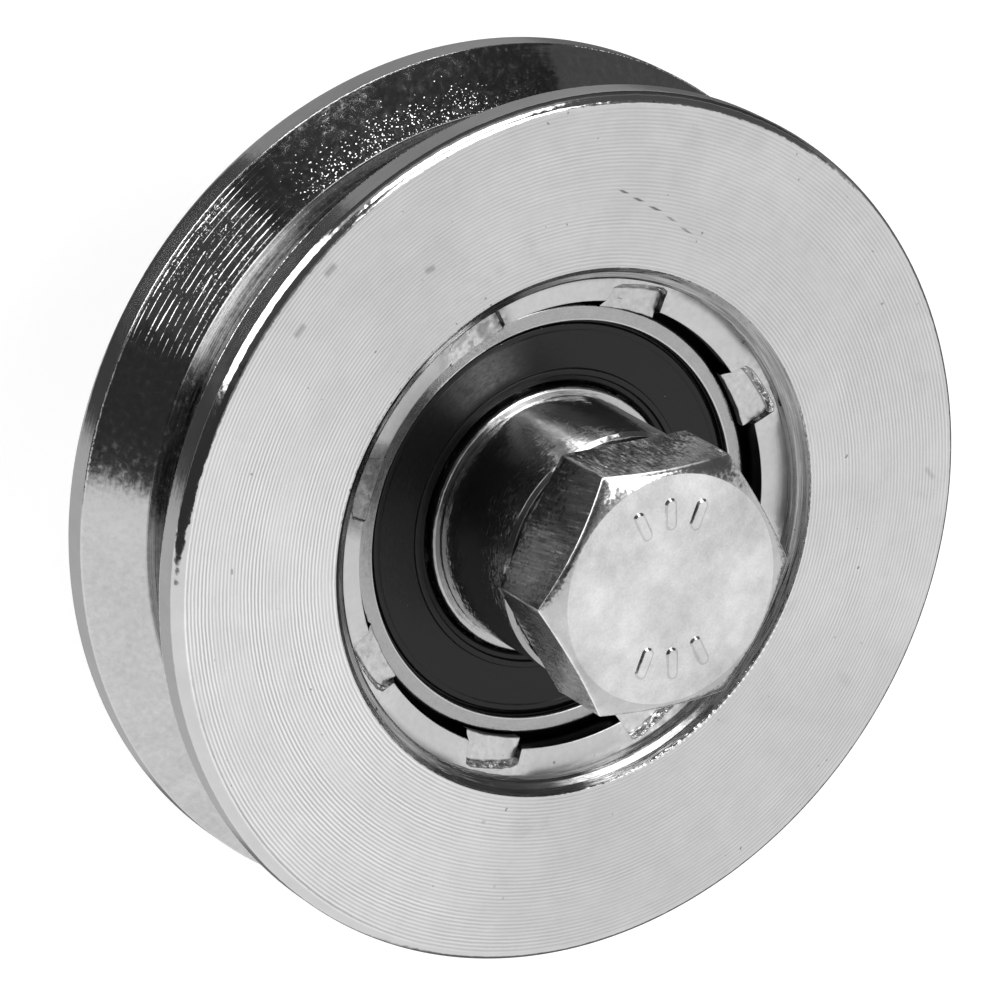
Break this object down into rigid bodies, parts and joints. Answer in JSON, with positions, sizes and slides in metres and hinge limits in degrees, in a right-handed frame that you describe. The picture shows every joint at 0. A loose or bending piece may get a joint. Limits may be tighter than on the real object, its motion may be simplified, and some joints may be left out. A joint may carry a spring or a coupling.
{
  "type": "v groove wheel",
  "caption": "Turned steel wheel with a V groove for a rail, on a sealed ball bearing staked into its hub, with spacer bushes on a hexagon bolt and nut.",
  "frame": {"origin": "centre of the wheel, on the axle's axis, half way through the wheel's width", "axes": "+Z along the axle towards the bolt's head; +X and +Y across the wheel"},
  "size_m": [0.08, 0.08, 0.0688],
  "materials": {
    "turned_steel": "bright turned steel with fine concentric tool marks",
    "bearing_steel": "satin ground bearing steel",
    "ball_steel": "polished",
    "cage_steel": "pressed sheet steel",
    "seal_rubber": "moulded black rubber, slightly glossy",
    "bush_steel": "polished turned steel",
    "zinc_steel": "zinc plated, slightly dull"
  },
  "bodies": {
    "axle": {"bearing_inner_ring": "bearing_steel", "front_bush": "bush_steel", "rear_bush": "bush_steel", "hex_bolt": "zinc_steel", "washer": "zinc_steel", "hex_nut": "zinc_steel"},
    "wheel": {"wheel_rim": "turned_steel", "bearing_outer_ring": "bearing_steel", "seal_front": "seal_rubber", "seal_rear": "seal_rubber"},
    "cage": {"cage_front_half": "cage_steel", "cage_rear_half": "cage_steel", "cage_rivets": "cage_steel"},
    "ball_1": {"ball_1": "ball_steel"},
    "ball_2": {"ball_2": "ball_steel"},
    "ball_3": {"ball_3": "ball_steel"},
    "ball_4": {"ball_4": "ball_steel"},
    "ball_5": {"ball_5": "ball_steel"},
    "ball_6": {"ball_6": "ball_steel"},
    "ball_7": {"ball_7": "ball_steel"},
    "ball_8": {"ball_8": "ball_steel"}
  },
  "joints": [
    {"name": "wheel_spin", "type": "hinge", "parent": "axle", "child": "wheel", "pos_m": [0, 0, 0.0002], "axis": [0, 0, 1], "continuous": true},
    {"name": "cage_orbit", "type": "hinge", "parent": "axle", "child": "cage", "pos_m": [0, 0, 0.0002], "axis": [0, 0, 1], "continuous": true},
    {"name": "ball_1_roll", "type": "hinge", "parent": "cage", "child": "ball_1", "pos_m": [0.01425, 0, 0.0002], "axis": [0, 0, 1], "continuous": true},
    {"name": "ball_2_roll", "type": "hinge", "parent": "cage", "child": "ball_2", "pos_m": [0.01008, 0.01008, 0.0002], "axis": [0, 0, 1], "continuous": true},
    {"name": "ball_3_roll", "type": "hinge", "parent": "cage", "child": "ball_3", "pos_m": [0, 0.01425, 0.0002], "axis": [0, 0, 1], "continuous": true},
    {"name": "ball_4_roll", "type": "hinge", "parent": "cage", "child": "ball_4", "pos_m": [-0.01008, 0.01008, 0.0002], "axis": [0, 0, 1], "continuous": true},
    {"name": "ball_5_roll", "type": "hinge", "parent": "cage", "child": "ball_5", "pos_m": [-0.01425, 0, 0.0002], "axis": [0, 0, 1], "continuous": true},
    {"name": "ball_6_roll", "type": "hinge", "parent": "cage", "child": "ball_6", "pos_m": [-0.01008, -0.01008, 0.0002], "axis": [0, 0, 1], "continuous": true},
    {"name": "ball_7_roll", "type": "hinge", "parent": "cage", "child": "ball_7", "pos_m": [0, -0.01425, 0.0002], "axis": [0, 0, 1], "continuous": true},
    {"name": "ball_8_roll", "type": "hinge", "parent": "cage", "child": "ball_8", "pos_m": [0.01008, -0.01008, 0.0002], "axis": [0, 0, 1], "continuous": true}
  ],
  "couplings": [
    {"joint": "cage_orbit", "follows": "wheel_spin", "ratio": 0.6182},
    {"joint": "ball_1_roll", "follows": "wheel_spin", "ratio": 1.996},
    {"joint": "ball_2_roll", "follows": "wheel_spin", "ratio": 1.996},
    {"joint": "ball_3_roll", "follows": "wheel_spin", "ratio": 1.996},
    {"joint": "ball_4_roll", "follows": "wheel_spin", "ratio": 1.996},
    {"joint": "ball_5_roll", "follows": "wheel_spin", "ratio": 1.996},
    {"joint": "ball_6_roll", "follows": "wheel_spin", "ratio": 1.996},
    {"joint": "ball_7_roll", "follows": "wheel_spin", "ratio": 1.996},
    {"joint": "ball_8_roll", "follows": "wheel_spin", "ratio": 1.996}
  ]
}
